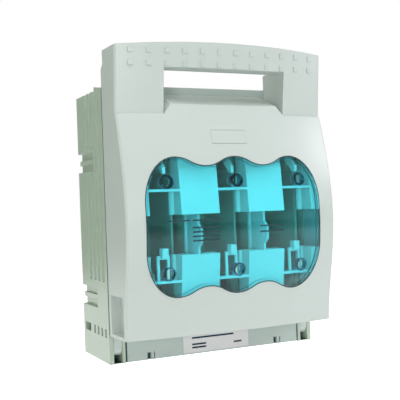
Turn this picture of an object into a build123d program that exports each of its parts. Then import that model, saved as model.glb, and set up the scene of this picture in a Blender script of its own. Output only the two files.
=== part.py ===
from build123d import *
import os
from math import asin, degrees

os.makedirs("parts", exist_ok=True)

# Three-pole fuse base for knife-blade fuse-links, with a hinged cover.
# Width runs along X, height along Z, and the front faces -Y.
# The origin is the centre of the four mounting holes, on the rear face.

# Base housing
base_height = 216.0
base_depth = 66.5
side_wall = 3.5
inner_side_wall = 2.5
hinge_channel = 7.0
back_wall = 4.0
pole_pitch = 58.0
phase_duct_width = 15.0
phase_skin = 2.0
phase_wall_depth = 63.7
cross_wall = 2.5
cross_wall_depth = 34.0
terminal_zone = 38.0
mount_height = 108.0
mount_spacing = 150.0
mount_hole_radius = 3.25
mount_boss_radius = 5.5
mount_boss_depth = 7.0

# Marks on the sides of the base
groove_count = 4
groove_pitch = 10.7
groove_width = 5.0
groove_depth = 1.2
first_groove = 25.2
groove_bottom = 64.0
recess_reach = 40.0
recess_height = 15.8
recess_depth = 3.4
upper_recess = 160.3
lower_recess = 49.7
recess_pad = 2.5
recess_rib_height = 4.0
recess_rib_out = 1.6
recess_clear = 2.0
vent_count = 4
first_vent = 30.5
vent_pitch = 9.4
vent_height = 23.5
vent_tall = 6.5
vent_wide = 4.4
rear_vent_start = 5.0
rear_vent_wide = 15.0
wedge_start = 46.0
wedge_rise = 3.3

# Terminal shrouds
shroud_thickness = 2.5
shroud_side_gap = 1.5
shroud_foot = 0.4
upper_shroud_rise = 2.0
upper_shroud_flange = 15.0
clip_width = 6.5
clip_height = 5.7
clip_hook = 2.4
plate_width = 60.0
plate_foot = 1.6
plate_height = 18.6
plate_thickness = 0.4

# Contacts
fuse_centre = 105.5
contact_spacing = 100.0
bar_width = 30.0
bar_thickness = 5.0
bar_seat = 22.0
bar_overlap = 13.0
bar_end = 4.0
terminal_inset = 15.0
finger_thickness = 2.5
finger_height = 24.0
finger_gap = 5.0
finger_foot = 14.6
finger_bend = 6.75
pinch_depth = 50.0
finger_tip_depth = 58.0
finger_flare = 3.2
spring_thickness = 1.2
spring_height = 14.0
spring_half_width = 18.0
spring_reach = 48.0
rivet_radius = 2.0
rivet_head_radius = 2.8
rivet_head = 1.4
rivet_offset = 11.4
pedestal_width = 26.0
pedestal_height = 26.0

# Terminal bolts
bolt_radius = 5.0
bolt_head_across = 16.0
bolt_head_height = 6.4
washer_radius = 10.0
washer_thickness = 2.0
nut_across = 16.0
nut_height = 8.0
nut_play = 0.3
bolt_hole_play = 0.5
bolt_length = 24.0

# Arc chambers
arc_frame_play = 0.4
arc_frame_wall = 1.5
arc_frame_start = 43.0
arc_frame_end = 71.0
arc_frame_near = 36.0
arc_frame_far = 62.0
splitter_count = 5
first_splitter = 2.0
splitter_pitch = 4.6
splitter_thickness = 1.2
splitter_leg = 5.0
splitter_mouth = 46.0
splitter_web = 5.5

# Cover
seam_gap = 0.7
cover_wall = 2.5
cover_side_step = 0.5
cover_draft = 1.0
cover_bevel = 1.4
cover_bottom = 22.4
cover_bulge = 6.0
ledge_height = 192.5
tongue_reach = 21.5
front_stations = ((cover_bottom, 99.8), (62.0, 105.4), (108.0, 110.6), (150.0, 106.3),
                  (ledge_height, 95.2), (ledge_height + tongue_reach, 88.6))

# Handle
handle_step = 1.6
handle_lean = 4.6
handle_bulge = 8.0
handle_corner_height = 244.2
handle_crown = 3.2
handle_side_drop = 0.6
grip_half_width = 53.0
grip_top = 227.7
grip_step = 7.9
scoop_inset = 6.3
scoop_front_height = 200.6
scoop_front_depth = 97.0
scoop_slope = 0.38
bar_rear_depth = 87.0
neck_foot = 229.2
neck_height = 4.6
neck_step = 4.1
pad_columns = 12
pad_pitch = 14.4
pad_size = 4.0
pad_rise = 0.6
pad_row_height = 240.2
pad_row_gap = 9.6

# Side recess of the cover
pocket_front_wall = 2.6
pocket_length = 25.6
pocket_foot = 25.2
pocket_top = 55.0
pocket_depth = 6.5
pocket_wall = 2.2

# Window
window_side_margin = 16.5
window_foot = 52.5
window_top = 159.0
window_end_reach = 26.0
window_wave = 7.0
window_corner = 36.0
window_thickness = 2.6
window_play = 0.35
flange_inner = 2.5
flange_outer = 3.0
flange_thickness = 1.5
flange_play = 0.1
tube_radius = 5.0
tube_bore = 4.0
tube_end = 105.0
upper_tube_height = 140.0
lower_tube_height = 71.0

# Fuse holders behind the window
holder_side_margin = 12.5
holder_setback = 3.2
holder_wall = 2.0
holder_rear = 86.0
upper_holder_foot = 115.0
upper_holder_top = 169.0
lower_holder_foot = 31.0
lower_holder_top = 84.4
slot_width = 25.8
slot_end_wall = 6.0
slot_rib_thickness = 2.0
slot_rib_depth = 7.0
upper_rib_inset = 17.6
lower_rib_inset = 18.8
guide_radius = 3.0
ear_width = 8.0
ear_height = 12.0
ear_front = 99.0
ear_thickness = 3.0
upper_ear = 145.0
lower_ear = 70.0
screw_radius = 1.5
screw_head_radius = 3.0
screw_head = 2.0
screw_length = 8.0
screw_boss_radius = 3.8
hook_width = 2.4
hook_root = 5.0
hook_front = 105.0
hook_tip = 146.0
hook_nose = 3.0
tongue_leg = 2.0
tongue_half_width = 5.2
tongue_front = 98.6
tongue_thickness = 2.0
tongue_bridge = 3.0
knob_width = 5.0
knob_height = 7.0
knob_front = 103.0

# Phase barriers between the holders
barrier_thickness = 1.8
barrier_front = 101.5
barrier_nose = 106.5
barrier_rear = 79.0
barrier_bead = 2.4
barrier_slope = 3.8
barrier_lower_step = 5.0
barrier_upper_step = 7.6
tab_shift = 3.0
tab_depth = 10.0
tab_reach = 1.6
tab_play = 0.1

# Hinge
pivot_depth = 60.0
pivot_height = 12.0
pin_radius = 2.5
pin_play = 0.05
pin_bury = 2.2
hinge_boss_radius = 6.0
hinge_side_play = 0.3
hinge_arm_top = 34.0
hinge_arm_front = 66.4
hinge_root_depth = 2.3

# Worked-out sizes
duct_centre = pole_pitch / 2
duct_half = phase_duct_width / 2
bay_half = duct_centre - duct_half
inner_wall_face = pole_pitch + bay_half
channel_inner = inner_wall_face + inner_side_wall
channel_outer = channel_inner + hinge_channel
half_width = channel_outer + side_wall
half_height = base_height / 2
shroud_half_width = inner_wall_face - shroud_side_gap
upper_shroud_top = base_height + upper_shroud_rise
arc_frame_half_width = bay_half - arc_frame_play
cover_half_width_back = half_width - cover_side_step
cover_half_width_front = cover_half_width_back - cover_draft
scoop_half_width = grip_half_width - scoop_inset
window_half_width = half_width - window_side_margin
window_lobe = window_half_width - window_end_reach
holder_half_width = half_width - holder_side_margin
guide_depth = holder_rear + guide_radius
pole_centres = (-pole_pitch, 0.0, pole_pitch)
sides = (-1, 1)
cover_back = base_depth + seam_gap
upper_contact = fuse_centre + contact_spacing / 2
lower_contact = fuse_centre - contact_spacing / 2
upper_terminal = base_height - terminal_inset
lower_terminal = terminal_inset
bar_face = bar_seat + bar_thickness
foot_seat = bar_face + spring_thickness
pinch_offset = (finger_gap + finger_thickness) / 2
front_reach = 2 * base_depth
clear_back = cover_back - 2 * cover_wall
clear_width = half_width + side_wall
clear_top = handle_corner_height + 2 * handle_crown


# Planes: each one's local axes are (width, height), (depth, height) or (width, -depth)
def front_plane(depth=0.0, height=0.0):
    return Plane(origin=(0, -depth, height - mount_height), x_dir=(1, 0, 0), z_dir=(0, -1, 0))


def side_plane(x=0.0):
    return Plane(origin=(x, 0, -mount_height), x_dir=(0, -1, 0), z_dir=(-1, 0, 0))


def level_plane(height=0.0):
    return Plane.XY.offset(height - mount_height)


def edge_depth(height):
    """Depth of the cover's front edge at this height, straight between its stations."""
    pairs = zip(front_stations, front_stations[1:])
    for (low, low_depth), (high, high_depth) in pairs:
        if height <= high:
            break
    share = (height - low) / (high - low)
    return low_depth + share * (high_depth - low_depth)


pocket_far = edge_depth(pocket_foot) - pocket_front_wall
pocket_near = pocket_far - pocket_length
handle_foot_depth = edge_depth(ledge_height) - handle_step
handle_top_depth = handle_foot_depth + handle_lean


# Base housing
with BuildPart() as base_housing:
    with BuildSketch(front_plane()):
        with Locations((0, half_height)):
            Rectangle(2 * half_width, base_height)
    extrude(amount=back_wall)
    # Upright walls, from a plan drawn on the bottom face
    with BuildSketch(level_plane()):
        for side in sides:
            with Locations((side * (half_width - side_wall / 2), -base_depth / 2)):
                Rectangle(side_wall, base_depth)
            with Locations((side * (channel_inner - inner_side_wall / 2), -base_depth / 2)):
                Rectangle(inner_side_wall, base_depth)
            for face in sides:
                skin_x = side * duct_centre + face * (duct_half - phase_skin / 2)
                with Locations((skin_x, -phase_wall_depth / 2)):
                    Rectangle(phase_skin, phase_wall_depth)
    extrude(amount=base_height)
    # Cross walls between the contacts and the terminals, open for the terminal bar
    for height in (terminal_zone, base_height - terminal_zone - cross_wall):
        with BuildSketch(level_plane(height)):
            for centre in pole_centres:
                with Locations((centre, -bar_seat / 2)):
                    Rectangle(2 * bay_half, bar_seat)
                for side in sides:
                    fin = bay_half - bar_width / 2 - pin_play
                    with Locations((centre + side * (bay_half - fin / 2), -cross_wall_depth / 2)):
                        Rectangle(fin, cross_wall_depth)
        extrude(amount=cross_wall)
    # Pedestals under each terminal and each contact, with a pocket for the captive nut
    with BuildSketch(front_plane()):
        for centre in pole_centres:
            for height in (lower_terminal, upper_terminal):
                with Locations((centre, height)):
                    Rectangle(pedestal_width, 2 * (terminal_inset - bar_end))
            for height in (lower_contact, upper_contact):
                with Locations((centre, height)):
                    Rectangle(bar_width, pedestal_height)
    extrude(amount=bar_seat)
    with BuildSketch(front_plane(bar_seat)):
        for centre in pole_centres:
            for height in (lower_terminal, upper_terminal):
                with Locations((centre, height)):
                    RegularPolygon((nut_across + nut_play) / 2, 6, major_radius=False)
    extrude(amount=-nut_height - nut_play, mode=Mode.SUBTRACT)
    with BuildSketch(front_plane(bar_seat)):
        for centre in pole_centres:
            for height in (lower_terminal, upper_terminal):
                with Locations((centre, height)):
                    Circle(bolt_radius + bolt_hole_play)
    extrude(amount=back_wall - bar_seat, mode=Mode.SUBTRACT)
    # Mounting holes, at the foot of the two ducts between the poles
    with BuildSketch(front_plane()):
        with GridLocations(pole_pitch, mount_spacing, 2, 2):
            with Locations((0, mount_height)):
                Circle(mount_boss_radius)
    extrude(amount=mount_boss_depth)
    with BuildSketch(front_plane()):
        with GridLocations(pole_pitch, mount_spacing, 2, 2):
            with Locations((0, mount_height)):
                Circle(mount_hole_radius)
    extrude(amount=mount_boss_depth, mode=Mode.SUBTRACT)
    # Pads inside the side channels back the two outer recesses
    for side in sides:
        pad_plane = side_plane(side * channel_outer + recess_pad * (side < 0))
        with BuildSketch(pad_plane):
            for height in (lower_recess, upper_recess):
                with Locations(((recess_reach + recess_pad) / 2, height)):
                    Rectangle(recess_reach + recess_pad, recess_height + 2 * recess_pad)
        extrude(amount=recess_pad)
    for side in sides:
        # Sloped wedge at the top front corner
        with BuildSketch(side_plane(side * half_width + side_wall * (side < 0))):
            with BuildLine():
                Polyline((wedge_start, base_height - side_wall), (wedge_start, base_height + wedge_rise),
                         (base_depth, base_height), (base_depth, base_height - side_wall), close=True)
            make_face()
        extrude(amount=side_wall)
        # Side recesses, each with a rib along its middle
        outer_face = side_plane(side * half_width)
        with BuildSketch(outer_face):
            for height in (lower_recess, upper_recess):
                with Locations((recess_reach / 2, height)):
                    Rectangle(recess_reach, recess_height)
                    Rectangle(recess_reach, recess_rib_height, mode=Mode.SUBTRACT)
        extrude(amount=recess_depth, both=True, mode=Mode.SUBTRACT)
        with BuildSketch(outer_face):
            for height in (lower_recess, upper_recess):
                with Locations((recess_reach / 2, height)):
                    Rectangle(recess_reach, recess_rib_height)
        extrude(amount=recess_rib_out, both=True, mode=Mode.SUBTRACT)
        # Upright grooves from the top edge down, stopped around the upper recess
        with BuildSketch(outer_face):
            groove_length = base_height + wedge_rise - groove_bottom
            for i in range(groove_count):
                with Locations((first_groove + i * groove_pitch, groove_bottom + groove_length / 2)):
                    Rectangle(groove_width, groove_length)
            stop = 2 * recess_clear
            with Locations((recess_reach / 2, upper_recess)):
                Rectangle(recess_reach + stop, recess_height + stop, mode=Mode.SUBTRACT)
        extrude(amount=groove_depth, both=True, mode=Mode.SUBTRACT)
        # Vent slots below the lower recess
        with BuildSketch(outer_face):
            for i in range(vent_count):
                with Locations((first_vent + i * vent_pitch, vent_height)):
                    Rectangle(vent_wide, vent_tall)
            with Locations((rear_vent_start + rear_vent_wide / 2, vent_height)):
                Rectangle(rear_vent_wide, vent_tall)
        extrude(amount=side_wall, both=True, mode=Mode.SUBTRACT)
        # Holes for the hinge pin, blind in the outer wall
        with BuildSketch(side_plane(side * inner_wall_face)):
            with Locations((pivot_depth, pivot_height)):
                Circle(pin_radius)
        extrude(amount=-side * (channel_outer + pin_bury - inner_wall_face), mode=Mode.SUBTRACT)
base_housing.part.label = "base_housing"


# Terminal shrouds: plates across the ends of the base
with BuildPart() as lower_shroud:
    with BuildSketch(front_plane(base_depth - shroud_thickness)):
        with Locations((0, (terminal_zone + shroud_foot) / 2)):
            Rectangle(2 * shroud_half_width, terminal_zone - shroud_foot)
        for side in sides:
            with Locations((side * pole_pitch, shroud_foot + clip_height / 2)):
                Rectangle(clip_width, clip_height, mode=Mode.SUBTRACT)
            with Locations((side * pole_pitch + clip_hook / 2, shroud_foot + clip_height - clip_hook)):
                Rectangle(clip_hook, 2 * clip_hook)
    extrude(amount=shroud_thickness)
lower_shroud.part.label = "lower_terminal_shroud"

with BuildPart() as upper_shroud:
    upper_shroud_foot = base_height - terminal_zone
    with BuildSketch(front_plane(base_depth - shroud_thickness)):
        with Locations((0, (upper_shroud_foot + upper_shroud_top) / 2)):
            Rectangle(2 * shroud_half_width, upper_shroud_top - upper_shroud_foot)
    extrude(amount=shroud_thickness)
    flange_gap = upper_shroud_top - base_height - seam_gap / 2
    with BuildSketch(level_plane(upper_shroud_top - flange_gap)):
        with Locations((0, -base_depth + upper_shroud_flange / 2)):
            Rectangle(2 * shroud_half_width, upper_shroud_flange)
    extrude(amount=flange_gap)
upper_shroud.part.label = "upper_terminal_shroud"

with BuildPart() as rating_plate:
    with BuildSketch(front_plane(base_depth)):
        with Locations((0, plate_foot + plate_height / 2)):
            Rectangle(plate_width, plate_height)
    extrude(amount=plate_thickness)
rating_plate.part.label = "rating_plate"


# Contacts, one function for each kind of piece
def make_terminal_bar(centre, contact, terminal):
    end = terminal + (terminal_inset - bar_end) * (1 if terminal > contact else -1)
    root = contact - bar_overlap * (1 if terminal > contact else -1)
    with BuildPart() as bar:
        with BuildSketch(front_plane(bar_seat)):
            with Locations((centre, (end + root) / 2)):
                Rectangle(bar_width, abs(end - root))
            with Locations((centre, terminal)):
                Circle(bolt_radius + bolt_hole_play, mode=Mode.SUBTRACT)
            with Locations((centre - rivet_offset, contact), (centre + rivet_offset, contact)):
                Circle(rivet_radius, mode=Mode.SUBTRACT)
        extrude(amount=bar_thickness)
    return bar.part


def make_finger(centre, contact, side):
    """One contact finger: a foot on the bar, an upright leaning in, and a flared tip."""
    foot_line = foot_seat + finger_thickness / 2
    with BuildPart() as finger:
        with BuildSketch(level_plane(contact - finger_height / 2)):
            with BuildLine():
                Polyline((centre + side * finger_foot, -foot_line),
                         (centre + side * finger_bend, -foot_line),
                         (centre + side * pinch_offset, -pinch_depth),
                         (centre + side * (pinch_offset + finger_flare), -finger_tip_depth))
            trace(line_width=finger_thickness)
        extrude(amount=finger_height)
        with BuildSketch(front_plane(foot_seat)):
            with Locations((centre + side * rivet_offset, contact)):
                Circle(rivet_radius)
        extrude(amount=finger_thickness, mode=Mode.SUBTRACT)
    return finger.part


def make_spring(centre, contact):
    """Steel clip under both feet, its legs leaning on the outside of the fingers."""
    lean = (pinch_depth - spring_reach) / (pinch_depth - foot_seat)
    touch = pinch_offset + (finger_bend - pinch_offset) * lean + finger_thickness / 2
    leg_end = touch + spring_thickness / 2 + flange_play
    web_line = bar_face + spring_thickness / 2
    with BuildPart() as spring:
        with BuildSketch(level_plane(contact - spring_height / 2)):
            with BuildLine():
                Polyline((centre - leg_end, -spring_reach), (centre - spring_half_width, -web_line),
                         (centre + spring_half_width, -web_line), (centre + leg_end, -spring_reach))
            trace(line_width=spring_thickness)
        extrude(amount=spring_height)
        with BuildSketch(front_plane(bar_face)):
            with Locations((centre - rivet_offset, contact), (centre + rivet_offset, contact)):
                Circle(rivet_radius)
        extrude(amount=spring_thickness, mode=Mode.SUBTRACT)
    return spring.part


def make_rivets(contact):
    """The rivets of one row of contacts, flush under the bar and with a head at the front."""
    head_seat = foot_seat + finger_thickness
    with BuildPart() as rivets:
        for start, radius, length in ((bar_seat, rivet_radius, head_seat - bar_seat),
                                      (head_seat, rivet_head_radius, rivet_head)):
            with BuildSketch(front_plane(start)):
                for centre in pole_centres:
                    with Locations((centre - rivet_offset, contact), (centre + rivet_offset, contact)):
                        Circle(radius)
            extrude(amount=length)
    return rivets.part


def make_arc_frame(centre, contact, outward):
    """Insulating frame: two side walls and an end wall, open towards the fuse-link."""
    near = fuse_centre + outward * arc_frame_start
    far = fuse_centre + outward * arc_frame_end
    depth = arc_frame_far - arc_frame_near
    with BuildPart() as frame:
        with BuildSketch(front_plane(arc_frame_near)):
            with Locations((centre, (near + far) / 2)):
                Rectangle(2 * arc_frame_half_width, abs(far - near))
            with Locations((centre, (near + far) / 2 - outward * arc_frame_wall)):
                Rectangle(2 * (arc_frame_half_width - arc_frame_wall), abs(far - near), mode=Mode.SUBTRACT)
        extrude(amount=depth)
    return frame.part


def make_splitters(outward):
    """Steel plates with a mouth for the blade, stacked in depth in each arc frame of a row."""
    inner_half = arc_frame_half_width - arc_frame_wall
    end = fuse_centre + outward * (arc_frame_end - arc_frame_wall)
    start = fuse_centre + outward * splitter_mouth
    with BuildPart() as plates:
        for i in range(splitter_count):
            with BuildSketch(front_plane(arc_frame_near + first_splitter + i * splitter_pitch)):
                for centre in pole_centres:
                    with Locations((centre, (start + end) / 2)):
                        Rectangle(2 * inner_half, abs(end - start))
                    with Locations((centre, (start + end) / 2 - outward * splitter_web)):
                        Rectangle(2 * (inner_half - splitter_leg), abs(end - start), mode=Mode.SUBTRACT)
            extrude(amount=splitter_thickness)
    return plates.part


def make_terminal_bolts():
    with BuildPart() as bolts:
        spots = [(centre, height) for centre in pole_centres for height in (lower_terminal, upper_terminal)]
        head_seat = bar_face + washer_thickness
        with BuildSketch(front_plane(head_seat)):
            with Locations(*spots):
                RegularPolygon(bolt_head_across / 2, 6, major_radius=False)
        extrude(amount=bolt_head_height)
        with BuildSketch(front_plane(head_seat)):
            with Locations(*spots):
                Circle(bolt_radius)
        extrude(amount=-bolt_length)
    return bolts.part


def make_washers():
    with BuildPart() as washers:
        with BuildSketch(front_plane(bar_face)):
            for centre in pole_centres:
                for height in (lower_terminal, upper_terminal):
                    with Locations((centre, height)):
                        Circle(washer_radius)
                        Circle(bolt_radius + flange_play, mode=Mode.SUBTRACT)
        extrude(amount=washer_thickness)
    return washers.part


def make_nuts():
    with BuildPart() as nuts:
        with BuildSketch(front_plane(bar_seat - nut_play / 2)):
            for centre in pole_centres:
                for height in (lower_terminal, upper_terminal):
                    with Locations((centre, height)):
                        RegularPolygon(nut_across / 2, 6, major_radius=False)
                        Circle(bolt_radius + pin_play / 2, mode=Mode.SUBTRACT)
        extrude(amount=-nut_height)
    return nuts.part


# Hinge pins, held in the two side walls
with BuildPart() as hinge_pins:
    for side in sides:
        with BuildSketch(side_plane(side * inner_wall_face)):
            with Locations((pivot_depth, pivot_height)):
                Circle(pin_radius)
        extrude(amount=-side * (channel_outer + pin_bury - inner_wall_face))
hinge_pins.part.label = "hinge_pins"


# Plan sections of the cover: straight back and sides, bevelled corners, arched front
def cover_section(height, front, bulge, inset=0.0, back=None):
    back_depth = cover_back if back is None else back
    wide = cover_half_width_back - inset
    narrow = cover_half_width_front - inset
    side = narrow + (wide - narrow) * cover_bevel / (front - back_depth)
    nose = narrow - cover_bevel
    with BuildSketch(level_plane(height)) as section:
        with BuildLine():
            Polyline((-nose, -front), (-side, cover_bevel - front), (-wide, -back_depth),
                     (wide, -back_depth), (side, cover_bevel - front), (nose, -front))
            ThreePointArc((nose, -front), (0, -front - bulge), (-nose, -front))
        make_face()
    return section.sketch


def panel_form(inset=0.0, back=None, foot=None):
    """The lower front of the cover as a solid, set in from its surface by inset."""
    with BuildPart() as form:
        for height, depth in front_stations:
            level = height if height > cover_bottom or foot is None else foot
            add(cover_section(level, depth - inset, cover_bulge, inset, back))
        loft()
    return form.part


def handle_form(inset=0.0, foot=ledge_height, top=clear_top, back=None):
    """The handle's outer block: its face leans forward towards the top."""
    lean = (handle_top_depth - handle_foot_depth) / (handle_corner_height - ledge_height)
    with BuildPart() as form:
        for level in (foot, top):
            front = handle_foot_depth + lean * (level - ledge_height)
            share = (level - ledge_height) / (handle_corner_height - ledge_height)
            bulge = cover_bulge + share * (handle_bulge - cover_bulge)
            add(cover_section(level, front - inset, bulge, inset, back))
        loft(ruled=True)
    return form.part


def grip_outline(depth, drop=0.0):
    """The grip opening at this depth: level top, and a raised floor with slanted corners."""
    floor = scoop_front_height + (scoop_front_depth - depth) * scoop_slope - drop
    with BuildSketch(front_plane(depth)) as outline:
        with BuildLine():
            Polyline((-grip_half_width, grip_top), (grip_half_width, grip_top),
                     (grip_half_width, floor - grip_step), (scoop_half_width, floor),
                     (-scoop_half_width, floor), (-grip_half_width, floor - grip_step), close=True)
        make_face()
    return outline.sketch


def grip_form(drop=0.0):
    with BuildPart() as form:
        add(grip_outline(clear_back, drop))
        add(grip_outline(front_reach, drop))
        loft(ruled=True)
    return form.part


def arch_form(drop=0.0):
    """Everything under the arched top edge of the handle, over the whole depth."""
    edge = handle_corner_height - handle_side_drop - drop
    crown = handle_corner_height + handle_crown - drop
    with BuildPart() as form:
        with BuildSketch(front_plane(clear_back)):
            with BuildLine():
                Polyline((-clear_width, edge), (-clear_width, 0), (clear_width, 0), (clear_width, edge))
                ThreePointArc((clear_width, edge), (0, crown), (-clear_width, edge))
            make_face()
        extrude(amount=front_reach)
    return form.part


def block(left, right, low, high, start=clear_back, end=front_reach):
    """A plain block between two widths, two heights and two depths."""
    with BuildPart() as form:
        with BuildSketch(front_plane(start)):
            with Locations(((left + right) / 2, (low + high) / 2)):
                Rectangle(abs(right - left), high - low)
        extrude(amount=end - start)
    return form.part


def window_sketch(depth, grow=0.0):
    """Wavy window outline: three lobes above and below, and large rounded ends."""
    half = (window_top - window_foot) / 2
    run = window_lobe / 2
    radius = (run**2 + window_wave**2) / (4 * window_wave)
    turn = degrees(asin(run / 2 / radius))
    end_reach = window_half_width - window_lobe
    with BuildSketch(front_plane(depth, window_foot + half)) as outline:
        with BuildLine():
            CenterArc((0, half - radius), radius + grow, 90, -turn)
            CenterArc((run, half - window_wave + radius), radius - grow, 270 - turn, 2 * turn)
            CenterArc((window_lobe, half - radius), radius + grow, 90 + turn, -turn)
            EllipticalCenterArc((window_lobe, half - window_corner), end_reach + grow,
                                window_corner + grow, start_angle=0, arc_size=90)
            Line((window_half_width + grow, half - window_corner), (window_half_width + grow, 0))
            mirror(about=Plane.YZ)
            mirror(about=Plane.XZ)
        make_face()
    return outline.sketch


def window_prism(grow=0.0, start=cover_back + window_end_reach / 2):
    with BuildPart() as prism:
        add(window_sketch(start, grow))
        extrude(amount=front_reach - start, dir=(0, -1, 0))
    return prism.part


# Cover with its handle, one moulding
with BuildPart() as handle:
    add(handle_form())
    # Opening between the legs, and the space behind the bar
    add(block(-grip_half_width, grip_half_width, ledge_height, grip_top), mode=Mode.SUBTRACT)
    add(block(-grip_half_width, grip_half_width, grip_top - cover_wall, clear_top, end=bar_rear_depth),
        mode=Mode.SUBTRACT)
    # The rear edges step forward towards the top
    with BuildSketch(side_plane(half_width)):
        with BuildLine():
            Polyline((clear_back, neck_foot), (cover_back, neck_foot),
                     (cover_back + neck_step, neck_foot + neck_height),
                     (cover_back + neck_step, clear_top + cover_wall), (clear_back, clear_top + cover_wall),
                     close=True)
        make_face()
    extrude(amount=2 * half_width, mode=Mode.SUBTRACT)
    add(arch_form(), mode=Mode.INTERSECT)

with BuildPart() as panel:
    add(panel_form())
    # Above the ledge only the raised tongue between the legs stays
    for side in sides:
        add(block(side * grip_half_width, side * clear_width, ledge_height, clear_top), mode=Mode.SUBTRACT)
    add(grip_form(), mode=Mode.SUBTRACT)

with BuildPart() as cover_cavity:
    add(panel_form(inset=cover_wall, back=cover_back - cover_wall, foot=cover_bottom + cover_wall))
    for side in sides:
        inner_leg = side * (grip_half_width - cover_wall)
        add(block(inner_leg, side * clear_width, ledge_height - cover_wall, clear_top), mode=Mode.SUBTRACT)
    add(grip_form(drop=cover_wall), mode=Mode.SUBTRACT)

with BuildPart() as handle_cavity:
    add(handle_form(inset=cover_wall, foot=ledge_height - 3 * cover_wall, back=cover_back - cover_wall))
    inner_grip = grip_half_width + cover_wall
    add(block(-inner_grip, inner_grip, 0, grip_top + cover_wall), mode=Mode.SUBTRACT)
    add(arch_form(drop=cover_wall), mode=Mode.INTERSECT)

# Raised grip pads, cut from a thin skin over the handle's face
with BuildPart() as pad_skin:
    add(handle_form(inset=-pad_rise))
    add(handle_form(inset=cover_wall / 2), mode=Mode.SUBTRACT)
with BuildPart() as grip_pads:
    with BuildSketch(front_plane(handle_foot_depth - cover_wall / 2)):
        row_middle = pad_row_height - pad_row_gap / 2
        with Locations((0, row_middle)):
            with GridLocations(pad_pitch, pad_row_gap, pad_columns, 2):
                Rectangle(pad_size, pad_size)
    extrude(amount=front_reach)
    add(pad_skin.part, mode=Mode.INTERSECT)

with BuildPart() as cover_shell:
    add(panel.part)
    add(handle.part)
    add(cover_cavity.part, mode=Mode.SUBTRACT)
    add(handle_cavity.part, mode=Mode.SUBTRACT)
    add(grip_pads.part)
    for side in sides:
        # Side recess with its own walls inside the cover
        inner_face = side * (cover_half_width_front - pocket_depth)
        lined = pocket_depth + pocket_wall - cover_wall / 2
        for wall, reach, mode in ((pocket_wall, lined, Mode.ADD), (0.0, 2 * pocket_depth, Mode.SUBTRACT)):
            with BuildSketch(side_plane(inner_face - side * wall)):
                with Locations(((pocket_near + pocket_far) / 2, (pocket_foot + pocket_top) / 2)):
                    Rectangle(pocket_length + 2 * wall, pocket_top - pocket_foot + 2 * wall)
            extrude(amount=-side * reach, mode=mode)
        # Posts that the fuse holders are screwed to
        for height in (lower_ear, upper_ear):
            post_end = edge_depth(height) - cover_wall / 2
            with BuildSketch(front_plane(ear_front)):
                with Locations((side * (holder_half_width + ear_width / 2), height)):
                    Circle(screw_boss_radius)
            extrude(amount=post_end - ear_front)
            with BuildSketch(front_plane(ear_front)):
                with Locations((side * (holder_half_width + ear_width / 2), height)):
                    Circle(screw_radius)
            extrude(amount=screw_length - ear_thickness, mode=Mode.SUBTRACT)
        # Hinge arm: runs in the side channel of the base and turns on the pin
        arm_inner = side * (channel_inner + hinge_side_play)
        arm_root = cover_back + hinge_root_depth
        arm_width = hinge_channel - 2 * hinge_side_play
        root_width = cover_half_width_back - cover_wall / 2 - abs(arm_inner)
        with BuildSketch(side_plane(arm_inner)):
            with BuildLine():
                Polyline((pivot_depth - hinge_boss_radius, pivot_height),
                         (pivot_depth - hinge_boss_radius, hinge_arm_top),
                         (arm_root, hinge_arm_top), (arm_root, cover_bottom + cover_wall / 2),
                         (hinge_arm_front, cover_bottom + cover_wall / 2), (hinge_arm_front, pivot_height),
                         close=True)
            make_face()
            with Locations((pivot_depth, pivot_height)):
                Circle(hinge_boss_radius)
        extrude(amount=-side * arm_width)
        with BuildSketch(side_plane(arm_inner)):
            with BuildLine():
                Polyline((cover_back, cover_bottom + cover_wall / 2), (cover_back, hinge_arm_top),
                         (arm_root, hinge_arm_top), (arm_root, cover_bottom + cover_wall / 2),
                         close=True)
            make_face()
        extrude(amount=-side * root_width)
        with BuildSketch(side_plane(arm_inner)):
            with Locations((pivot_depth, pivot_height)):
                Circle(pin_radius + pin_play)
        extrude(amount=-side * arm_width, mode=Mode.SUBTRACT)
    add(window_prism(), mode=Mode.SUBTRACT)
cover_shell.part.label = "cover"


# Window: a plug flush with the cover, a flange behind the wall and six probe tubes
with BuildPart() as window_skin:
    add(panel_form(back=cover_back))
    add(panel_form(inset=window_thickness, back=clear_back), mode=Mode.SUBTRACT)
with BuildPart() as flange_skin:
    add(panel_form(inset=cover_wall + flange_play, back=cover_back))
    add(panel_form(inset=cover_wall + flange_play + flange_thickness, back=clear_back), mode=Mode.SUBTRACT)
with BuildPart() as window_plug:
    add(window_prism(grow=-window_play))
    add(window_skin.part, mode=Mode.INTERSECT)
with BuildPart() as window_flange:
    add(window_prism(grow=flange_outer))
    add(window_prism(grow=-flange_inner, start=cover_back), mode=Mode.SUBTRACT)
    add(flange_skin.part, mode=Mode.INTERSECT)
with BuildPart() as window:
    add(window_plug.part)
    add(window_flange.part)
    tube_heights = (lower_tube_height, upper_tube_height)
    tube_spots = [(centre, height) for centre in pole_centres for height in tube_heights]
    for spot in tube_spots:
        root = edge_depth(spot[1]) + cover_bulge * (1 - (spot[0] / cover_half_width_front) ** 2)
        with BuildSketch(front_plane(tube_end)):
            with Locations(spot):
                Circle(tube_radius)
        extrude(amount=root - window_thickness / 2 - tube_end)
    with BuildSketch(front_plane(tube_end)):
        with Locations(*tube_spots):
            Circle(tube_bore)
    extrude(amount=front_reach - tube_end, mode=Mode.SUBTRACT)
window.part.label = "window"


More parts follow.
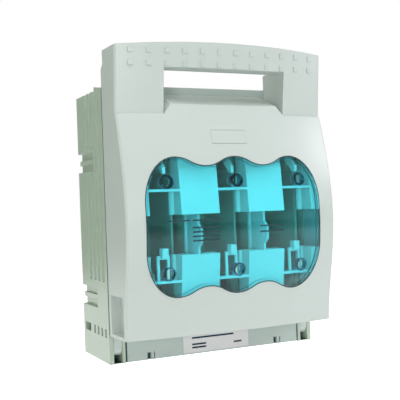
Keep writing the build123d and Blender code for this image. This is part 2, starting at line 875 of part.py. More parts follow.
# Fuse holders: ribbed mouldings behind the window, open at the back
def make_holder(foot, top, slot_from, slot_to, ear, rib, guide_from, guide_to):
    solid_zones = [(-holder_half_width, pole_centres[0] - slot_width / 2)]
    for left, right in zip(pole_centres, pole_centres[1:]):
        solid_zones.append((left + slot_width / 2, right - slot_width / 2))
    solid_zones.append((pole_centres[2] + slot_width / 2, holder_half_width))
    heights = [foot] + [h for h, _ in front_stations if foot < h < top] + [top]
    with BuildPart() as holder:
        with BuildSketch(side_plane(holder_half_width)):
            with BuildLine():
                Polyline([(edge_depth(h) - holder_setback, h) for h in heights]
                         + [(holder_rear, top), (holder_rear, foot)], close=True)
            make_face()
        extrude(amount=2 * holder_half_width)
        # Slots for the lugs of the fuse-links
        with BuildSketch(front_plane(holder_rear - holder_wall)):
            for centre in pole_centres:
                with Locations((centre, (slot_from + slot_to) / 2)):
                    Rectangle(slot_width, slot_to - slot_from)
        extrude(amount=front_reach, mode=Mode.SUBTRACT)
        # Hollows behind the front panels
        hollow_rear = holder_rear - holder_wall
        hollow_heights = [foot + holder_wall] + heights[1:-1] + [top - holder_wall]
        hollow_front = [(edge_depth(h) - holder_setback - holder_wall, h) for h in hollow_heights]
        hollow_back = [(hollow_rear, hollow_heights[-1]), (hollow_rear, hollow_heights[0])]
        for start, end in solid_zones:
            with BuildSketch(side_plane(end - holder_wall)):
                with BuildLine():
                    Polyline(hollow_front + hollow_back, close=True)
                make_face()
            extrude(amount=end - start - 2 * holder_wall, mode=Mode.SUBTRACT)
        # A rib across each slot
        rib_front = edge_depth(rib) - holder_setback
        with BuildSketch(front_plane(rib_front - slot_rib_depth)):
            for centre in pole_centres:
                with Locations((centre, rib)):
                    Rectangle(slot_width, slot_rib_thickness)
        extrude(amount=slot_rib_depth)
        # Rounded guides for the lug at the rear edges of each slot
        with BuildSketch(level_plane(guide_from)):
            for centre in pole_centres:
                for side in sides:
                    with Locations((centre + side * slot_width / 2, -guide_depth)):
                        Circle(guide_radius)
        extrude(amount=guide_to - guide_from)
        # Ears for the screws
        for side in sides:
            with BuildSketch(front_plane(ear_front)):
                with Locations((side * (holder_half_width + ear_width / 2), ear)):
                    Rectangle(ear_width, ear_height)
            extrude(amount=-ear_thickness)
            with BuildSketch(front_plane(ear_front)):
                with Locations((side * (holder_half_width + ear_width / 2), ear)):
                    Circle(screw_radius)
            extrude(amount=-ear_thickness, mode=Mode.SUBTRACT)
        # Seats for the tabs of the phase barriers
        seat = slot_from if slot_from == foot else slot_to
        with BuildSketch(level_plane(seat)):
            for side in sides:
                with Locations((side * duct_centre, -(barrier_front + barrier_rear) / 2 - tab_shift)):
                    Rectangle(barrier_thickness + 2 * tab_play, tab_depth + 2 * tab_play)
        extrude(amount=holder_wall, both=True, mode=Mode.SUBTRACT)
    return holder


upper_rib = upper_holder_foot + upper_rib_inset + slot_rib_thickness / 2
upper_holder = make_holder(upper_holder_foot, upper_holder_top, upper_holder_foot,
                           upper_holder_top - slot_end_wall, upper_ear, upper_rib,
                           upper_holder_foot, upper_rib)
with BuildPart() as upper_fuse_holder:
    add(upper_holder.part)
    # A slanted stop hangs in each upper slot, above the lug
    ceiling = upper_holder_top - slot_end_wall
    root_depth = holder_rear + holder_wall
    for centre in pole_centres:
        with BuildSketch(side_plane(centre + hook_width / 2)):
            with BuildLine():
                Polyline((root_depth, ceiling + holder_wall),
                         (root_depth + hook_root, ceiling + holder_wall),
                         (root_depth + hook_root, ceiling), (hook_front, hook_tip + hook_root),
                         (hook_front, hook_tip), (hook_front - hook_nose, hook_tip),
                         (root_depth, ceiling - hook_root), close=True)
            make_face()
        extrude(amount=hook_width)
upper_fuse_holder.part.label = "upper_fuse_holder"

lower_rib = lower_holder_top - lower_rib_inset - slot_rib_thickness / 2
lower_holder = make_holder(lower_holder_foot, lower_holder_top, lower_holder_foot + slot_end_wall,
                           lower_holder_top, lower_ear, lower_rib, lower_rib, lower_holder_top)
with BuildPart() as lower_fuse_holder:
    add(lower_holder.part)
    # A springy tongue stands in each lower slot: two legs, a bridge and a square knob
    tongue_top = lower_holder_top - lower_rib
    leg_offset = tongue_half_width - tongue_leg / 2
    with BuildSketch(front_plane(tongue_front - tongue_thickness)):
        for centre in pole_centres:
            with Locations((centre - leg_offset, lower_rib + tongue_top / 2),
                           (centre + leg_offset, lower_rib + tongue_top / 2)):
                Rectangle(tongue_leg, tongue_top)
            with Locations((centre, lower_holder_top - tongue_bridge / 2)):
                Rectangle(2 * tongue_half_width, tongue_bridge)
    extrude(amount=tongue_thickness)
    with BuildSketch(front_plane(tongue_front - tongue_thickness)):
        for centre in pole_centres:
            with Locations((centre, lower_holder_top - tongue_bridge / 2 + knob_height / 2)):
                Rectangle(knob_width, knob_height)
    extrude(amount=knob_front - tongue_front + tongue_thickness)
lower_fuse_holder.part.label = "lower_fuse_holder"


def make_barrier(side):
    """Barrier between two poles: a plate with a nosed front edge and a beaded rear edge."""
    nose_foot = lower_holder_top + barrier_lower_step
    nose_top = upper_holder_foot - barrier_upper_step
    tab_middle = (barrier_front + barrier_rear) / 2 + tab_shift
    with BuildPart() as barrier:
        with BuildSketch(side_plane(side * duct_centre + barrier_thickness / 2)):
            with BuildLine():
                Polyline((barrier_rear, lower_holder_top), (barrier_front, lower_holder_top),
                         (barrier_front, nose_foot), (barrier_nose, nose_foot + barrier_slope),
                         (barrier_nose, nose_top - barrier_slope), (barrier_front, nose_top),
                         (barrier_front, upper_holder_foot), (barrier_rear, upper_holder_foot), close=True)
            make_face()
            for height in (lower_holder_top, upper_holder_foot):
                with Locations((tab_middle, height)):
                    Rectangle(tab_depth, 2 * tab_reach)
        extrude(amount=barrier_thickness)
        with BuildSketch(level_plane(lower_holder_top)):
            with Locations((side * duct_centre, -barrier_rear)):
                Circle(barrier_bead)
        extrude(amount=upper_holder_foot - lower_holder_top)
    return barrier.part


# Screws that hold the fuse holders to the cover
with BuildPart() as holder_screws:
    screw_x = holder_half_width + ear_width / 2
    spots = [(side * screw_x, ear) for side in sides for ear in (lower_ear, upper_ear)]
    with BuildSketch(front_plane(ear_front - ear_thickness)):
        with Locations(*spots):
            Circle(screw_head_radius)
    extrude(amount=-screw_head)
    with BuildSketch(front_plane(ear_front - ear_thickness)):
        with Locations(*spots):
            Circle(screw_radius)
    extrude(amount=screw_length)
holder_screws.part.label = "holder_screws"


pieces = [base_housing.part, lower_shroud.part, upper_shroud.part, rating_plate.part, hinge_pins.part,
          cover_shell.part, window.part, upper_fuse_holder.part, lower_fuse_holder.part, holder_screws.part]


def name_piece(shape, label):
    shape.label = label
    pieces.append(shape)


rows = (("upper", upper_contact, upper_terminal, 1), ("lower", lower_contact, lower_terminal, -1))
pole_names = dict(zip(pole_centres, ("left", "middle", "right")))
for row, contact, terminal, outward in rows:
    for centre, pole in pole_names.items():
        name_piece(make_terminal_bar(centre, contact, terminal), f"{row}_{pole}_terminal_bar")
        for side, hand in ((-1, "a"), (1, "b")):
            name_piece(make_finger(centre, contact, side), f"{row}_{pole}_contact_finger_{hand}")
        name_piece(make_spring(centre, contact), f"{row}_{pole}_contact_spring")
        name_piece(make_arc_frame(centre, contact, outward), f"{row}_{pole}_arc_frame")
    name_piece(make_rivets(contact), f"{row}_contact_rivets")
    name_piece(make_splitters(outward), f"{row}_splitter_plates")
name_piece(make_terminal_bolts(), "terminal_bolts")
name_piece(make_washers(), "terminal_washers")
name_piece(make_nuts(), "terminal_nuts")
for side, pole in ((-1, "left"), (1, "right")):
    name_piece(make_barrier(side), f"{pole}_phase_barrier")

for piece in pieces:
    export_step(piece, f"parts/{piece.label}.step")
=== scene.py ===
from math import cos, radians, sin

import bmesh
import bpy
from mathutils import Matrix, Quaternion, Vector
from mathutils.bvhtree import BVHTree


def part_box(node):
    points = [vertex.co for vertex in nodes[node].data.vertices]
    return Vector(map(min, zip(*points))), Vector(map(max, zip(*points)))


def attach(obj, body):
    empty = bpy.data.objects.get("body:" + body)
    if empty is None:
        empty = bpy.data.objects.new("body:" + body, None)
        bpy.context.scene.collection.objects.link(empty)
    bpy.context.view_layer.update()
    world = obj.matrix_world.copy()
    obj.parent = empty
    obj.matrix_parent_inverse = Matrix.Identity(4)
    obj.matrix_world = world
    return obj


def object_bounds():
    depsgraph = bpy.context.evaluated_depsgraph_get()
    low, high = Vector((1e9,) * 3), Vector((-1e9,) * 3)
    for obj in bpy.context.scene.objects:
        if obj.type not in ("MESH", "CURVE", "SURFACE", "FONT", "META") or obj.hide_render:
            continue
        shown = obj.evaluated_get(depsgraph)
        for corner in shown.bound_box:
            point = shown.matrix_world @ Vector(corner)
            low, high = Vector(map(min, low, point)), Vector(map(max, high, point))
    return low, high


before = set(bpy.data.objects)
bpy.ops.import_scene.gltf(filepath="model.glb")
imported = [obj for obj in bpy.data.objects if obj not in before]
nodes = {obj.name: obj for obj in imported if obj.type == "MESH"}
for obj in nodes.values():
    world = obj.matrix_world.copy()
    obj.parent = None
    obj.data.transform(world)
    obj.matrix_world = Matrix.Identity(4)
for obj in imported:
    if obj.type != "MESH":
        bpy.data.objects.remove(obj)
cad_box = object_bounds()

# Places, sides and the thickness of print, shared by several pieces, in metres
pole_pitch = 0.058
poles = {"left": -pole_pitch, "middle": 0.0, "right": pole_pitch}
print_thickness = 0.00004
sides = (-1, 1)


# Camera at the photograph's angle, to the left of the front and rolled by two degrees
def place_camera():
    yaw, pitch, roll = radians(25.27), radians(0.23), radians(-2.08)
    forward = Vector((sin(yaw) * cos(pitch), cos(yaw) * cos(pitch), sin(pitch)))
    camera = bpy.data.objects.new("camera", bpy.data.cameras.new("camera"))
    bpy.context.scene.collection.objects.link(camera)
    camera.data.lens = 69.0
    camera.data.sensor_width = 36.0
    camera.data.clip_start = 0.01
    camera.location = (-0.27977, -0.63753, 0.0153)
    camera.rotation_mode = "QUATERNION"
    camera.rotation_quaternion = forward.to_track_quat("-Z", "Y") @ Quaternion((0, 0, 1), roll)
    bpy.context.scene.camera = camera


# Shader node groups
def group(name, inputs, outputs):
    """An empty node group with number inputs, and its input and output nodes."""
    tree = bpy.data.node_groups.new(name, "ShaderNodeTree")
    for label, value in inputs.items():
        socket = tree.interface.new_socket(label, in_out="INPUT", socket_type="NodeSocketFloat")
        socket.default_value = value
    for label, kind in outputs.items():
        tree.interface.new_socket(label, in_out="OUTPUT", socket_type=kind)
    return tree, tree.nodes.new("NodeGroupInput"), tree.nodes.new("NodeGroupOutput")


def calculate(tree, operation, *values):
    """The result of a Math node that takes numbers or other nodes' outputs."""
    node = tree.nodes.new("ShaderNodeMath")
    node.operation = operation
    for socket, value in zip(node.inputs, values):
        if isinstance(value, float):
            socket.default_value = value
        else:
            tree.links.new(value, socket)
    return node.outputs["Value"]


def object_axes(tree):
    """The X, Y and Z of the Object coordinates, as outputs of one node."""
    place = tree.nodes.new("ShaderNodeTexCoord")
    split = tree.nodes.new("ShaderNodeSeparateXYZ")
    tree.links.new(place.outputs["Object"], split.inputs["Vector"])
    return split.outputs


def mould_grain():
    """Fine grain of moulded plastic, a slow drift of shade, and edges rounded as in the mould."""
    tree, given, result = group("mould_grain", {"Scale": 2500.0, "Drift": 12.0, "Edge": 0.0006},
                                {"Height": "NodeSocketFloat", "Shade": "NodeSocketFloat",
                                 "Rounded": "NodeSocketVector"})
    place = tree.nodes.new("ShaderNodeTexCoord")
    fine = tree.nodes.new("ShaderNodeTexNoise")
    fine.inputs["Detail"].default_value = 3.0
    slow = tree.nodes.new("ShaderNodeTexNoise")
    slow.inputs["Detail"].default_value = 2.0
    for noise, size in ((fine, "Scale"), (slow, "Drift")):
        tree.links.new(place.outputs["Object"], noise.inputs["Vector"])
        tree.links.new(given.outputs[size], noise.inputs["Scale"])
    mottle = tree.nodes.new("ShaderNodeMix")
    mottle.inputs["Factor"].default_value = 0.6
    tree.links.new(slow.outputs["Fac"], mottle.inputs["A"])
    tree.links.new(fine.outputs["Fac"], mottle.inputs["B"])
    edges = tree.nodes.new("ShaderNodeBevel")
    edges.samples = 4
    tree.links.new(given.outputs["Edge"], edges.inputs["Radius"])
    tree.links.new(fine.outputs["Fac"], result.inputs["Height"])
    tree.links.new(mottle.outputs["Result"], result.inputs["Shade"])
    tree.links.new(edges.outputs["Normal"], result.inputs["Rounded"])
    return tree


def probe_rims():
    """Mask of the walls of the six probe tubes in the window, where painted shade stands for how dark they
    look from the front.
    """
    rows = (0.032, -0.037)
    tree, given, result = group("probe_rims", {"Inner": 0.0041, "Outer": 0.0052},
                                {"Mask": "NodeSocketFloat"})
    axes = object_axes(tree)
    across = calculate(tree, "WRAP", axes["X"], pole_pitch / 2, -pole_pitch / 2)
    offsets = [calculate(tree, "ABSOLUTE", calculate(tree, "SUBTRACT", axes["Z"], row)) for row in rows]
    along = calculate(tree, "MINIMUM", *offsets)
    squares = [calculate(tree, "MULTIPLY", offset, offset) for offset in (across, along)]
    reach = calculate(tree, "SQRT", calculate(tree, "ADD", *squares))
    past_bore = calculate(tree, "GREATER_THAN", reach, given.outputs["Inner"])
    within_wall = calculate(tree, "LESS_THAN", reach, given.outputs["Outer"])
    tree.links.new(calculate(tree, "MULTIPLY", past_bore, within_wall), result.inputs["Mask"])
    return tree


def brushed_lines():
    """Drawing and rolling lines of metal stock, along the height."""
    tree, given, result = group("brushed_lines", {"Scale": 900.0},
                                {"Height": "NodeSocketFloat", "Shade": "NodeSocketFloat"})
    place = tree.nodes.new("ShaderNodeTexCoord")
    stretch = tree.nodes.new("ShaderNodeMapping")
    stretch.inputs["Scale"].default_value = (1.0, 1.0, 0.04)
    lines = tree.nodes.new("ShaderNodeTexNoise")
    lines.inputs["Detail"].default_value = 4.0
    spots = tree.nodes.new("ShaderNodeTexNoise")
    spots.inputs["Scale"].default_value = 90.0
    tree.links.new(place.outputs["Object"], stretch.inputs["Vector"])
    tree.links.new(stretch.outputs["Vector"], lines.inputs["Vector"])
    tree.links.new(place.outputs["Object"], spots.inputs["Vector"])
    tree.links.new(given.outputs["Scale"], lines.inputs["Scale"])
    tree.links.new(lines.outputs["Fac"], result.inputs["Height"])
    tree.links.new(spots.outputs["Fac"], result.inputs["Shade"])
    return tree


# Materials
def new_material(name, **sockets):
    material = bpy.data.materials.new(name)
    material.use_nodes = True
    shader = material.node_tree.nodes["Principled BSDF"]
    for label, value in sockets.items():
        shader.inputs[label.replace("_", " ")].default_value = value
    return material


def two_tone(material, effect, low, high, bump, roughness, **sizes):
    """Joins an effect group to a material: shade to colour and roughness, height to bump."""
    tree = material.node_tree
    shader = tree.nodes["Principled BSDF"]
    placed = tree.nodes.new("ShaderNodeGroup")
    placed.node_tree = effect
    for label, value in sizes.items():
        placed.inputs[label].default_value = value
    tone = tree.nodes.new("ShaderNodeMix")
    tone.data_type = "RGBA"
    tone.inputs["A"].default_value = (*low, 1.0)
    tone.inputs["B"].default_value = (*high, 1.0)
    tree.links.new(placed.outputs["Shade"], tone.inputs["Factor"])
    tree.links.new(tone.outputs["Result"], shader.inputs["Base Color"])
    rough = tree.nodes.new("ShaderNodeMapRange")
    rough.inputs["To Min"].default_value, rough.inputs["To Max"].default_value = roughness
    tree.links.new(placed.outputs["Shade"], rough.inputs["Value"])
    tree.links.new(rough.outputs["Result"], shader.inputs["Roughness"])
    raised = tree.nodes.new("ShaderNodeBump")
    raised.inputs["Strength"].default_value = 1.0
    raised.inputs["Distance"].default_value = bump
    tree.links.new(placed.outputs["Height"], raised.inputs["Height"])
    if "Rounded" in placed.outputs:
        tree.links.new(placed.outputs["Rounded"], raised.inputs["Normal"])
    tree.links.new(raised.outputs["Normal"], shader.inputs["Normal"])


def plastic(name, low, high, grain, bump, roughness, drift=12.0, **sockets):
    material = new_material(name, **sockets)
    two_tone(material, grain, low, high, bump, roughness, Drift=drift)
    return material


def metal(name, low, high, lines, bump, roughness):
    material = new_material(name, Metallic=1.0)
    two_tone(material, lines, low, high, bump, roughness)
    return material


def tinted_window():
    """Clear tinted plastic with painted shade on the probe tubes' walls, that also lets the lamps shine
    through to what lies behind it.
    """
    clear_tint = (0.33, 0.86, 0.945, 1.0)
    # Dark blue painted on the probe tubes' walls as shade
    rim_painted_shade = (0.09, 0.22, 0.36, 1.0)
    lamplight_tint = (0.50, 0.97, 1.0, 1.0)
    material = new_material("tinted_window", Base_Color=clear_tint, Roughness=0.03, IOR=1.49,
                            Transmission_Weight=1.0)
    tree = material.node_tree
    shader = tree.nodes["Principled BSDF"]
    rims = tree.nodes.new("ShaderNodeGroup")
    rims.node_tree = probe_rims()
    tint = tree.nodes.new("ShaderNodeMix")
    tint.data_type = "RGBA"
    tint.inputs["A"].default_value = clear_tint
    tint.inputs["B"].default_value = rim_painted_shade
    tree.links.new(rims.outputs["Mask"], tint.inputs["Factor"])
    tree.links.new(tint.outputs["Result"], shader.inputs["Base Color"])
    through = tree.nodes.new("ShaderNodeBsdfTransparent")
    through.inputs["Color"].default_value = lamplight_tint
    path = tree.nodes.new("ShaderNodeLightPath")
    choose = tree.nodes.new("ShaderNodeMixShader")
    tree.links.new(path.outputs["Is Shadow Ray"], choose.inputs["Fac"])
    tree.links.new(shader.outputs["BSDF"], choose.inputs[1])
    tree.links.new(through.outputs["BSDF"], choose.inputs[2])
    tree.links.new(choose.outputs["Shader"], tree.nodes["Material Output"].inputs["Surface"])
    return material


def make_finishes():
    """Every finish of the fuse base, by the name of what it covers."""
    grain, lines = mould_grain(), brushed_lines()
    coarse_bump, fine_bump, film_bump, board_bump = 0.00002, 0.00001, 0.000005, 0.00004
    return {
        "housing": plastic("housing_plastic", (0.45, 0.55, 0.45), (0.49, 0.585, 0.49),
                           grain, coarse_bump, (0.18, 0.26)),
        "shroud": plastic("shroud_plastic", (0.46, 0.53, 0.505), (0.50, 0.57, 0.545),
                          grain, coarse_bump, (0.40, 0.50)),
        "cover": plastic("cover_plastic", (0.585, 0.64, 0.615), (0.605, 0.66, 0.635),
                         grain, fine_bump, (0.24, 0.32)),
        "holder": plastic("holder_plastic", (0.70, 0.685, 0.64), (0.75, 0.73, 0.685),
                          grain, fine_bump, (0.35, 0.45)),
        "barrier": plastic("barrier_plastic", (0.60, 0.66, 0.64), (0.66, 0.72, 0.70),
                           grain, fine_bump, (0.35, 0.45)),
        "board": plastic("arc_board", (0.62, 0.58, 0.48), (0.72, 0.68, 0.58),
                         grain, board_bump, (0.7, 0.85), drift=80.0),
        "plate": plastic("plate_film", (0.70, 0.69, 0.695), (0.74, 0.73, 0.735),
                         grain, film_bump, (0.30, 0.38)),
        # Ink of the plate's print, also used as painted shade in the screws' cross recesses
        "ink_and_shade": plastic("legend_ink_and_shade", (0.006, 0.030, 0.055), (0.016, 0.045, 0.075),
                       grain, film_bump, (0.5, 0.7), Specular_IOR_Level=0.2),
        "legend": plastic("window_print", (0.016, 0.060, 0.074), (0.030, 0.085, 0.100),
                          grain, film_bump, (0.5, 0.7), Specular_IOR_Level=0.2),
        # Dark of the window's joint line, also used as painted shade in the base's gaps and pockets
        "seam_and_shade": plastic("seam_shadow", (0.020, 0.050, 0.055), (0.035, 0.070, 0.075),
                        grain, film_bump, (0.4, 0.5)),
        "silver": metal("silver_plate", (0.72, 0.70, 0.66), (0.80, 0.79, 0.76),
                        lines, coarse_bump, (0.22, 0.38)),
        "spring": metal("spring_steel", (0.30, 0.30, 0.32), (0.40, 0.40, 0.42),
                        lines, coarse_bump, (0.25, 0.40)),
        "zinc": metal("zinc_plate", (0.52, 0.53, 0.53), (0.66, 0.66, 0.64),
                      lines, coarse_bump, (0.28, 0.45)),
        "window": tinted_window(),
    }


def dress_nodes(finishes):
    """Gives each CAD node its finish, by its own name, by its kind, or else as zinc-plated steel."""
    by_name = {"base_housing": "housing", "lower_terminal_shroud": "shroud",
               "upper_terminal_shroud": "shroud", "rating_plate": "plate", "cover": "cover",
               "window": "window", "upper_fuse_holder": "holder", "lower_fuse_holder": "holder",
               "left_phase_barrier": "barrier", "right_phase_barrier": "barrier"}
    by_kind = {"terminal_bar": "silver", "finger_a": "silver", "finger_b": "silver",
               "spring": "spring", "frame": "board"}
    for name, node in nodes.items():
        of_kind = [finish for ending, finish in by_kind.items() if name.endswith(ending)]
        finish = by_name.get(name, of_kind[0] if of_kind else "zinc")
        node.data.materials.clear()
        node.data.materials.append(finishes[finish])


# Pieces
def keep(bm, name, body, material):
    """Makes a finished piece of a bmesh and lets it ride on its body."""
    mesh = bpy.data.meshes.new(name)
    bmesh.ops.recalc_face_normals(bm, faces=bm.faces)
    bm.to_mesh(mesh)
    bm.free()
    mesh.materials.append(material)
    piece = bpy.data.objects.new(name, mesh)
    bpy.context.scene.collection.objects.link(piece)
    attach(piece, body)


def copy_of(name):
    """A merged copy of a CAD node's mesh, to read its surfaces and edges from."""
    bm = bmesh.new()
    bm.from_mesh(nodes[name].data)
    bmesh.ops.remove_doubles(bm, verts=bm.verts, dist=0.000005)
    return bm


def surface_of(name):
    """A CAD node's surface, which thin pieces are laid on."""
    bm = copy_of(name)
    surface = BVHTree.FromBMesh(bm)
    bm.free()
    return surface


def slab(bm, low, high):
    """A thin closed slab between two corners."""
    low, high = Vector(low), Vector(high)
    made = bmesh.ops.create_cube(bm, size=1.0)["verts"]
    bmesh.ops.scale(bm, vec=high - low, verts=made)
    bmesh.ops.translate(bm, vec=(low + high) / 2, verts=made)


def span(side, near, far):
    """The lower and upper X of a strip between two distances from the middle, on one side."""
    return sorted((side * near, side * far))


def patch(bm, surface, left, right, low, high, lift, across=8, up=2):
    """A rectangle laid on a surface from the front, so that it follows the curve there."""
    before_front = -0.2
    made = bmesh.ops.create_grid(bm, x_segments=across, y_segments=up, size=0.5)["verts"]
    for vert in made:
        x = left + (vert.co.x + 0.5) * (right - left)
        z = low + (vert.co.y + 0.5) * (high - low)
        hit = surface.ray_cast(Vector((x, before_front, z)), Vector((0, 1, 0)))[0]
        vert.co = (x, hit.y - lift, z)


def plate_lines(material):
    """Plain bars where the rating plate carries its data."""
    bar_height = 0.0014
    margin, short_end, long_end, right_end = 0.0078, 0.0205, 0.0460, 0.0535
    # Height of each bar above the plate's foot, and its two ends from the plate's left edge
    bars = ((0.0118, margin, long_end), (0.0066, margin, short_end), (0.0040, margin, short_end),
            (0.0050, long_end, right_end))
    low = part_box("rating_plate")[0]
    bm = bmesh.new()
    for height, start, end in bars:
        middle = low.z + height
        slab(bm, (low.x + start, low.y - print_thickness, middle - bar_height / 2),
             (low.x + end, low.y, middle + bar_height / 2))
    keep(bm, "plate_lines", "base", material)


def window_legend(material):
    """Rows of plain bars printed on the window in front of the two barriers."""
    bar_height, top_row = 0.0012, 0.0025
    inner, outer = 0.0175, 0.040
    left_rows, left_first, left_pitch = 4, -0.0030, 0.0033
    right_rows, right_first, right_pitch = 2, -0.0040, 0.0045
    # Left end, right end and height of each bar
    bars = [(-0.060, -0.042, top_row), (-outer, -0.013, top_row)]
    bars += [(-outer, -inner, left_first - left_pitch * row) for row in range(left_rows)]
    bars += [(inner, outer, right_first - right_pitch * row) for row in range(right_rows)]
    glass = surface_of("window")
    bm = bmesh.new()
    for left, right, height in bars:
        patch(bm, glass, left, right, height - bar_height / 2, height + bar_height / 2, print_thickness)
    keep(bm, "window_legend", "cover", material)


def name_field(material):
    """The bare raised field above the window."""
    left, right, foot, top = -0.0175, 0.0130, 0.0612, 0.0718
    proud, thickness = 0.00014, 0.0004
    bm = bmesh.new()
    patch(bm, surface_of("cover"), left, right, foot, top, proud, across=12, up=4)
    bmesh.ops.solidify(bm, geom=bm.faces[:], thickness=thickness)
    keep(bm, "name_field", "cover", material)


def front_rim(bm):
    """Edges between a face that looks to the front and one that stands across it."""
    facing, across = 0.9, 0.3
    rim = []
    for edge in bm.edges:
        depths = [face.normal.y for face in edge.link_faces]
        if len(depths) == 2 and min(depths) < -facing and min(abs(depth) for depth in depths) < across:
            rim.append(edge)
    return rim


def closed_loops(edges):
    """The corner points of each loop that the edges form, in order round the loop."""
    waiting = dict.fromkeys(edges)
    loops = []
    while waiting:
        first = next(iter(waiting))
        del waiting[first]
        tip = first.verts[1]
        loop = [tip]
        step = next((edge for edge in tip.link_edges if edge in waiting), None)
        while step is not None:
            del waiting[step]
            tip = step.other_vert(tip)
            loop.append(tip)
            step = next((edge for edge in tip.link_edges if edge in waiting), None)
        loops.append(loop)
    return loops


def window_seam(material):
    """Dark line of the joint between the window and the cover, along the foremost wavy edge."""
    line_radius, outward, behind = 0.0004, 1.0015, 0.0001
    narrowest = 0.14
    glass = copy_of("window")
    outlines = [[vert.co.copy() for vert in loop] for loop in closed_loops(front_rim(glass))]
    glass.free()
    wide = [places for places in outlines
            if max(place.x for place in places) - min(place.x for place in places) > narrowest]
    wavy_edge = min(wide, key=lambda places: min(place.y for place in places))
    curve = bpy.data.curves.new("seam_path", "CURVE")
    curve.dimensions = "3D"
    curve.bevel_depth = line_radius
    curve.bevel_resolution = 1
    spline = curve.splines.new("POLY")
    spline.points.add(len(wavy_edge) - 1)
    for point, place in zip(spline.points, wavy_edge):
        point.co = (place.x * outward, place.y + behind, place.z, 1.0)
    spline.use_cyclic_u = True
    path = bpy.data.objects.new("seam_path", curve)
    line = bmesh.new()
    line.from_mesh(bpy.data.meshes.new_from_object(path))
    bpy.data.objects.remove(path)
    keep(line, "window_seam", "cover", material)


def cover_joint_shade(material):
    """Dark line of painted shade in the gap between the base and the cover's rear edge, along both sides."""
    near, far, gap_front, gap_rear = 0.0912, 0.0922, 0.0006, 0.0001
    foot_clearance, top_clearance = 0.0235, 0.0035
    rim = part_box("base_housing")[0].y
    bottom = cad_box[0].z + foot_clearance
    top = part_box("base_housing")[1].z - top_clearance
    bm = bmesh.new()
    for side in sides:
        left, right = span(side, near, far)
        slab(bm, (left, rim - gap_front, bottom), (right, rim - gap_rear, top))
    keep(bm, "cover_joint_shade", "base", material)


def hinge_pockets(material):
    """Dark slabs of painted shade on the floor and rear of the hinge arms' channels, and in the joint beside
    the lower shroud.
    """
    channel_near, channel_far, channel_front, channel_rear = 0.0821, 0.0889, -0.0660, -0.0525
    lining, height, gap = 0.0005, 0.0220, 0.0002
    joint_near, joint_far, joint_setback = 0.0001, 0.0012, 0.0008
    bottom = cad_box[0].z
    floor_top = bottom + gap + lining
    shroud_low, shroud_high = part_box("lower_terminal_shroud")
    bm = bmesh.new()
    for side in sides:
        left, right = span(side, channel_near, channel_far)
        slab(bm, (left, channel_front, bottom + gap), (right, channel_rear, floor_top))
        slab(bm, (left, channel_rear - lining, floor_top), (right, channel_rear, bottom + height))
        left, right = span(side, shroud_high.x + joint_near, shroud_high.x + joint_far)
        slab(bm, (left, shroud_low.y + joint_setback, shroud_low.z), (right, shroud_high.y, bottom + height))
    keep(bm, "hinge_pockets", "base", material)


def clip_pockets(dark, pale):
    """Dark slabs of painted shade in the pockets behind the two clip hooks of the lower shroud, and the bar
    under each.
    """
    pocket_half_width, pocket_height, lining = 0.0036, 0.0061, 0.0004
    bar_half_width, bar_height, setback = 0.00325, 0.0007, 0.0002
    low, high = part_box("lower_terminal_shroud")
    pockets, bars = bmesh.new(), bmesh.new()
    for x in (poles["left"], poles["right"]):
        slab(pockets, (x - pocket_half_width, high.y, low.z),
             (x + pocket_half_width, high.y + lining, low.z + pocket_height))
        slab(bars, (x - bar_half_width, low.y + setback, low.z),
             (x + bar_half_width, high.y, low.z + bar_height))
    keep(bars, "clip_bars", "base", pale)
    keep(pockets, "clip_pockets", "base", dark)


def screw_crosses(material):
    """Dark crosses painted as the shade in the cross recesses of the heads of the screws that hold the fuse
    holders.
    """
    screw_place, head_radius, depth = 0.084, 0.003, 0.00003
    arm, half_width = 0.0017, 0.00035
    low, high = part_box("holder_screws")
    bm = bmesh.new()
    for side in sides:
        for height in (low.z + head_radius, high.z - head_radius):
            for wide, tall in ((arm, half_width), (half_width, arm)):
                x = side * screw_place
                slab(bm, (x - wide, high.y, height - tall), (x + wide, high.y + depth, height + tall))
    keep(bm, "screw_crosses", "cover", material)


def bolt_heads(material):
    """Chamfered crowns of the terminal bolts' heads."""
    foot_radius, crown_radius, crown_height, bolt_height = 0.0078, 0.0072, 0.0006, 0.093
    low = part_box("terminal_bolts")[0]
    bm = bmesh.new()
    for x in poles.values():
        for height in (-bolt_height, bolt_height):
            made = bmesh.ops.create_cone(bm, cap_ends=True, segments=36, radius1=foot_radius,
                                         radius2=crown_radius, depth=crown_height)["verts"]
            bmesh.ops.rotate(bm, cent=(0, 0, 0), matrix=Matrix.Rotation(radians(90), 3, "X"), verts=made)
            bmesh.ops.translate(bm, vec=(x, low.y - crown_height / 2, height), verts=made)
    keep(bm, "bolt_crowns", "base", material)


# Floor, lamps and a white surround that the camera sees
def white_surround():
    """Soft light from all round, which the camera sees as plain white, also through the window."""
    world = bpy.data.worlds.new("surround")
    bpy.context.scene.world = world
    world.use_nodes = True
    tree = world.node_tree
    soft = tree.nodes["Background"]
    soft.inputs["Color"].default_value = (0.86, 0.99, 0.80, 1.0)
    soft.inputs["Strength"].default_value = 0.30
    white = tree.nodes.new("ShaderNodeBackground")
    white.inputs["Color"].default_value = (1.0, 1.0, 1.0, 1.0)
    white.inputs["Strength"].default_value = 1.0
    path = tree.nodes.new("ShaderNodeLightPath")
    seen = calculate(tree, "MAXIMUM", path.outputs["Is Camera Ray"], path.outputs["Is Transmission Ray"])
    choose = tree.nodes.new("ShaderNodeMixShader")
    tree.links.new(seen, choose.inputs["Fac"])
    tree.links.new(soft.outputs["Background"], choose.inputs[1])
    tree.links.new(white.outputs["Background"], choose.inputs[2])
    tree.links.new(choose.outputs["Shader"], tree.nodes["World Output"].inputs["Surface"])


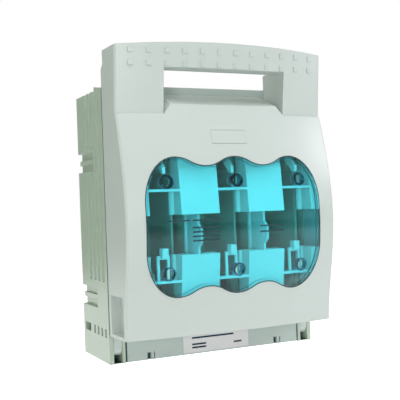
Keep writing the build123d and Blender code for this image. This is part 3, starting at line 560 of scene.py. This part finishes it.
def pale_floor():
    """Matt finish that the camera sees as plain white, and glossy plastic mirrors near the object."""
    mirrored_front, mirrored_rear, glow = -0.30, 1.05, 0.80
    material = new_material("pale_floor", Base_Color=(0.92, 0.92, 0.92, 1.0), Roughness=0.9,
                            Emission_Color=(1.0, 1.0, 1.0, 1.0))
    tree = material.node_tree
    path = tree.nodes.new("ShaderNodeLightPath")
    near = calculate(tree, "COMPARE", object_axes(tree)["Y"], (mirrored_front + mirrored_rear) / 2,
                     (mirrored_rear - mirrored_front) / 2)
    mirrored = calculate(tree, "MULTIPLY", path.outputs["Is Glossy Ray"], near)
    seen = calculate(tree, "MAXIMUM", path.outputs["Is Camera Ray"], mirrored)
    shader = tree.nodes["Principled BSDF"]
    tree.links.new(calculate(tree, "MULTIPLY", seen, glow), shader.inputs["Emission Strength"])
    return material


def floor():
    """Pale floor, low enough for the open cover to swing down past the foot of the base."""
    drop, half_size = 0.050, 4.0
    bm = bmesh.new()
    bmesh.ops.create_grid(bm, x_segments=1, y_segments=1, size=half_size)
    bmesh.ops.translate(bm, vec=(0, 0, cad_box[0].z - drop), verts=bm.verts)
    mesh = bpy.data.meshes.new("floor")
    bm.to_mesh(mesh)
    bm.free()
    mesh.materials.append(pale_floor())
    plane = bpy.data.objects.new("floor", mesh)
    bpy.context.scene.collection.objects.link(plane)


def lamp(name, place, target, size, power, colour):
    """A rectangular soft box that looks from its place to its target."""
    light = bpy.data.lights.new(name, "AREA")
    light.shape = "RECTANGLE"
    light.size, light.size_y = size
    light.energy = power
    light.color = colour
    stand = bpy.data.objects.new(name, light)
    bpy.context.scene.collection.objects.link(stand)
    stand.location = place
    stand.rotation_mode = "QUATERNION"
    stand.rotation_quaternion = (Vector(target) - Vector(place)).to_track_quat("-Z", "Y")


def lights():
    """Soft boxes, placed so that the window mirrors none of them to the photograph's camera."""
    violet_white, cool_white = (0.955, 0.92, 1.0), (0.98, 0.98, 1.0)
    lamp("key_soft_box", (0.30, -0.85, 1.35), (0.0, -0.05, 0.0), (1.1, 0.6), 6.5, violet_white)
    lamp("right_soft_box", (1.08, -0.60, 0.46), (0.0, -0.08, -0.09), (0.4, 0.4), 5.6, violet_white)
    lamp("left_soft_box", (-0.78, -1.10, -0.03), (0.0, -0.05, -0.06), (0.25, 0.45), 4.4, (0.97, 0.96, 0.97))
    lamp("front_soft_box", (-0.12, -1.40, 0.16), (-0.08, -0.10, 0.13), (0.2, 0.2), 1.1, (0.96, 0.95, 1.0))
    lamp("rear_soft_box", (0.25, 1.25, 0.90), (0.0, 0.0, 0.0), (0.6, 0.6), 4.5, (1.0, 0.96, 1.0))
    lamp("top_soft_box", (-0.55, -0.30, 1.10), (-0.25, -0.15, -0.11), (0.6, 0.6), 4.6, cool_white)


place_camera()
finishes = make_finishes()
dress_nodes(finishes)
plate_lines(finishes["ink_and_shade"])
window_legend(finishes["legend"])
window_seam(finishes["seam_and_shade"])
name_field(finishes["cover"])
cover_joint_shade(finishes["seam_and_shade"])
hinge_pockets(finishes["seam_and_shade"])
clip_pockets(finishes["seam_and_shade"], finishes["shroud"])
screw_crosses(finishes["ink_and_shade"])
bolt_heads(finishes["zinc"])
floor()
white_surround()
lights()
bpy.context.scene.view_settings.view_transform = "Standard"
